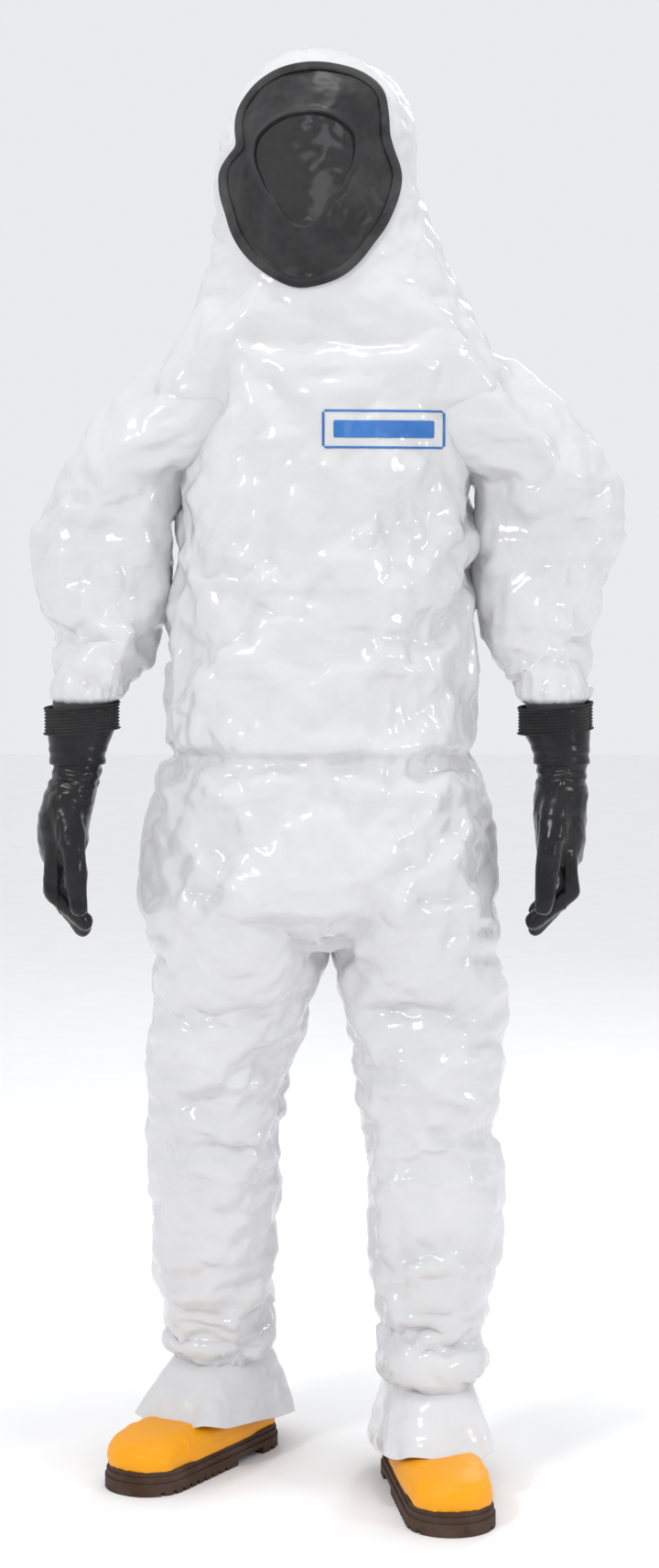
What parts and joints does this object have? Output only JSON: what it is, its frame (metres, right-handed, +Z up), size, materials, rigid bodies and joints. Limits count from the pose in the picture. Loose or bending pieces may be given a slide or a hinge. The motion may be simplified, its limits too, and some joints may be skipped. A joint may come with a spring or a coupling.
{
  "type": "chemical protective suit",
  "caption": "Hooded chemical protective suit with face seal, rubber gloves and safety boots attached, standing; jointed at neck, arms and legs, with a rear zip under a storm flap",
  "frame": {"origin": "on the floor under the middle of the suit's bounding box", "axes": "+Z up, -Y is the front of the suit, +X is the wearer's left"},
  "size_m": [0.7648, 0.449, 1.8613],
  "materials": {
    "suit_film": "glossy coated film",
    "seal_rubber": "semi-gloss",
    "binding_tape": "ribbed tape",
    "label_print": "gloss",
    "glove_rubber": "gloss",
    "ring_plastic": "satin",
    "boot_yellow": "satin",
    "sole_brown": "matt",
    "insole_felt": "matt",
    "cap_steel": "satin",
    "elastic": "woven",
    "zip_tape": "woven",
    "zip_plastic": "satin",
    "hook_loop": "pile"
  },
  "bodies": {
    "torso": {"jacket_shell": "suit_film", "trouser_seat": "suit_film", "waist_elastic": "elastic", "chest_label": "label_print", "zip_tape_left": "zip_tape", "zip_tape_right": "zip_tape", "zip_teeth": "zip_plastic", "zip_stops": "zip_plastic", "zip_placket": "suit_film", "loop_strip": "hook_loop", "flap_root": "suit_film", "shoulder_left": "suit_film", "shoulder_right": "suit_film", "hip_left": "suit_film", "hip_right": "suit_film", "hood_neck": "suit_film"},
    "head": {"hood_shell": "suit_film", "face_seal": "seal_rubber", "seal_binding": "binding_tape"},
    "zip_slider": {"zip_slider": "zip_plastic"},
    "zip_pull": {"zip_pull": "zip_plastic"},
    "storm_flap": {"storm_flap": "suit_film", "hook_strip": "hook_loop"},
    "upper_arm_right": {"upper_sleeve_right": "suit_film", "elbow_right": "suit_film"},
    "forearm_right": {"lower_sleeve_right": "suit_film", "cuff_ring_right": "ring_plastic", "glove_band_right": "glove_rubber", "glove_gauntlet_right": "glove_rubber", "glove_wrist_right": "glove_rubber"},
    "hand_right": {"glove_hand_right": "glove_rubber"},
    "thigh_right": {"upper_leg_right": "suit_film", "knee_right": "suit_film"},
    "shin_right": {"lower_leg_right": "suit_film", "ankle_right": "suit_film"},
    "foot_right": {"boot_upper_right": "boot_yellow", "boot_sole_right": "sole_brown", "boot_insole_right": "insole_felt", "toe_cap_right": "cap_steel", "ankle_elastic_right": "elastic", "boot_skirt_right": "suit_film"},
    "upper_arm_left": {"upper_sleeve_left": "suit_film", "elbow_left": "suit_film"},
    "forearm_left": {"lower_sleeve_left": "suit_film", "cuff_ring_left": "ring_plastic", "glove_band_left": "glove_rubber", "glove_gauntlet_left": "glove_rubber", "glove_wrist_left": "glove_rubber"},
    "hand_left": {"glove_hand_left": "glove_rubber"},
    "thigh_left": {"upper_leg_left": "suit_film", "knee_left": "suit_film"},
    "shin_left": {"lower_leg_left": "suit_film", "ankle_left": "suit_film"},
    "foot_left": {"boot_upper_left": "boot_yellow", "boot_sole_left": "sole_brown", "boot_insole_left": "insole_felt", "toe_cap_left": "cap_steel", "ankle_elastic_left": "elastic", "boot_skirt_left": "suit_film"}
  },
  "joints": [
    {"name": "neck_nod", "type": "hinge", "parent": "torso", "child": "head", "pos_m": [-0.00557, 0.04814, 1.57], "axis": [-1, 0, 0], "range_deg": [-22, 20], "deforming": ["hood_neck"]},
    {"name": "shoulder_swing_right", "type": "hinge", "parent": "torso", "child": "upper_arm_right", "pos_m": [-0.19957, 0.03314, 1.385], "axis": [-1, 0, 0], "range_deg": [-40, 110], "deforming": ["shoulder_right"]},
    {"name": "elbow_bend_right", "type": "hinge", "parent": "upper_arm_right", "child": "forearm_right", "pos_m": [-0.28757, 0.04814, 1.17], "axis": [-1, 0, 0], "range_deg": [-12, 85], "deforming": ["elbow_right"]},
    {"name": "wrist_bend_right", "type": "hinge", "parent": "forearm_right", "child": "hand_right", "pos_m": [-0.32557, -0.00086, 0.938], "axis": [-1, 0, 0], "range_deg": [-35, 35], "deforming": ["glove_wrist_right"]},
    {"name": "hip_swing_right", "type": "hinge", "parent": "torso", "child": "thigh_right", "pos_m": [-0.11957, 0.03314, 0.93], "axis": [-1, 0, 0], "range_deg": [-20, 90], "deforming": ["hip_right"]},
    {"name": "knee_bend_right", "type": "hinge", "parent": "thigh_right", "child": "shin_right", "pos_m": [-0.14157, 0.05814, 0.53], "axis": [1, 0, 0], "range_deg": [-5, 95], "deforming": ["knee_right"]},
    {"name": "ankle_bend_right", "type": "hinge", "parent": "shin_right", "child": "foot_right", "pos_m": [-0.14157, 0.13314, 0.105], "axis": [-0.848, 0.5299, 0], "range_deg": [-20, 20], "deforming": ["ankle_right"]},
    {"name": "shoulder_swing_left", "type": "hinge", "parent": "torso", "child": "upper_arm_left", "pos_m": [0.20043, 0.03314, 1.385], "axis": [-1, 0, 0], "range_deg": [-40, 110], "deforming": ["shoulder_left"]},
    {"name": "elbow_bend_left", "type": "hinge", "parent": "upper_arm_left", "child": "forearm_left", "pos_m": [0.28043, 0.04814, 1.17], "axis": [-1, 0, 0], "range_deg": [-12, 85], "deforming": ["elbow_left"]},
    {"name": "wrist_bend_left", "type": "hinge", "parent": "forearm_left", "child": "hand_left", "pos_m": [0.29843, -0.00086, 0.938], "axis": [-1, 0, 0], "range_deg": [-35, 35], "deforming": ["glove_wrist_left"]},
    {"name": "hip_swing_left", "type": "hinge", "parent": "torso", "child": "thigh_left", "pos_m": [0.11243, 0.03314, 0.93], "axis": [-1, 0, 0], "range_deg": [-20, 90], "deforming": ["hip_left"]},
    {"name": "knee_bend_left", "type": "hinge", "parent": "thigh_left", "child": "shin_left", "pos_m": [0.13043, 0.02214, 0.53], "axis": [1, 0, 0], "range_deg": [-5, 95], "deforming": ["knee_left"]},
    {"name": "ankle_bend_left", "type": "hinge", "parent": "shin_left", "child": "foot_left", "pos_m": [0.12743, 0.00214, 0.105], "axis": [-0.9912, -0.1323, 0], "range_deg": [-20, 20], "deforming": ["ankle_left"]},
    {"name": "zip_run", "type": "slide", "parent": "torso", "child": "zip_slider", "axis": [0, 0, 1], "range_m": [-0.4, 0]},
    {"name": "pull_fold", "type": "hinge", "parent": "zip_slider", "child": "zip_pull", "pos_m": [-0.01157, 0.16444, 1.4], "axis": [-1, 0, 0], "range_deg": [0, 150]},
    {"name": "flap_open", "type": "hinge", "parent": "torso", "child": "storm_flap", "pos_m": [-0.05157, 0.16624, 1.155], "axis": [0, 0, 1], "range_deg": [0, 140]}
  ]
}
